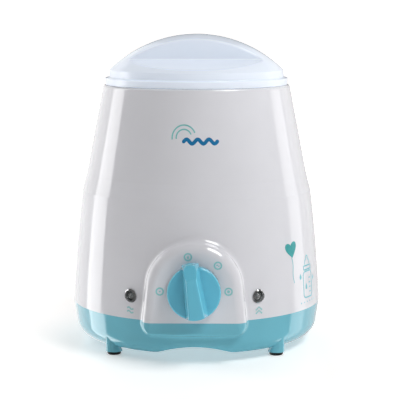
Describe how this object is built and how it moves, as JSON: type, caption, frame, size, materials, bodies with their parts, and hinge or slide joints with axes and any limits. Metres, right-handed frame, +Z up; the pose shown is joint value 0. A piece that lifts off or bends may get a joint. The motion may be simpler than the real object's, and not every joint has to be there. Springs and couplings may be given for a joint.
{
  "type": "bottle warmer",
  "caption": "Round baby bottle warmer: tapered white housing on an aqua base, lift-off frosted dome lid, heated well, front control knob on an arched boss, indicator lamps, rubber feet.",
  "frame": {"origin": "centre of the footprint's box on the surface that it stands on", "axes": "+Z up along the well, the knob faces -Y, +X to the right as seen from the front"},
  "size_m": [0.1416, 0.1624, 0.1755],
  "materials": {
    "housing_white": "glossy moulded",
    "base_aqua": "glossy moulded",
    "knob_aqua": "satin moulded",
    "lid_frosted": "translucent frosted",
    "bezel_chrome": "bright plated",
    "lamp_clear": "clear",
    "foot_rubber": "matt",
    "well_white": "satin moulded",
    "plate_aluminium": "satin",
    "zinc_steel": "zinc plated",
    "seal_silicone": "matt",
    "heater_case": "anodised",
    "mica_pad": "matt",
    "sensor_brass": "plain",
    "board_green": "solder mask",
    "component_black": "moulded",
    "component_blue": "moulded",
    "component_yellow": "moulded",
    "nylon_white": "moulded",
    "gland_white": "moulded",
    "switch_case": "moulded",
    "lead_brown": "insulated",
    "lead_blue": "insulated",
    "lead_red": "insulated"
  },
  "bodies": {
    "housing": {"upper_housing": "housing_white", "base_housing": "base_aqua", "base_screws": "zinc_steel", "well_liner": "well_white", "well_gasket": "seal_silicone", "well_seal": "seal_silicone", "heater_plate": "plate_aluminium", "clamp_ring": "zinc_steel", "clamp_screws": "zinc_steel", "heater_element": "heater_case", "heater_pad": "mica_pad", "heater_bridge": "zinc_steel", "bridge_nuts": "zinc_steel", "temperature_sensor": "sensor_brass", "thermal_fuse": "component_black", "switch_body": "switch_case", "switch_washer": "zinc_steel", "switch_nut": "zinc_steel", "led_bezel_left": "bezel_chrome", "led_bezel_right": "bezel_chrome", "led_left": "lamp_clear", "led_right": "lamp_clear", "led_retainer_left": "zinc_steel", "led_retainer_right": "zinc_steel", "rubber_foot_front_left": "foot_rubber", "rubber_foot_front_right": "foot_rubber", "rubber_foot_back_left": "foot_rubber", "rubber_foot_back_right": "foot_rubber", "control_board": "board_green", "board_screws": "zinc_steel", "relay": "component_blue", "film_capacitor": "component_yellow", "electrolytic_capacitor": "component_black", "control_chip": "component_black", "board_connector": "nylon_white", "cord_gland": "gland_white", "cord_clamp": "nylon_white", "cord_clamp_screws": "zinc_steel", "mains_terminal": "nylon_white", "mains_lead_live": "lead_brown", "mains_lead_neutral": "lead_blue", "heater_lead_live": "lead_red", "heater_lead_neutral": "lead_red", "sensor_lead": "component_black"},
    "lid": {"lid": "lid_frosted"},
    "knob": {"knob": "knob_aqua", "knob_shaft": "zinc_steel", "switch_rotor": "nylon_white"}
  },
  "joints": [
    {"name": "lid_lift", "type": "slide", "parent": "housing", "child": "lid", "axis": [0, 0, 1], "range_m": [0, 0.12]},
    {"name": "knob_turn", "type": "hinge", "parent": "housing", "child": "knob", "pos_m": [0, -0.06565, 0.0408], "axis": [0, 1, 0], "range_deg": [-82, 98]}
  ]
}
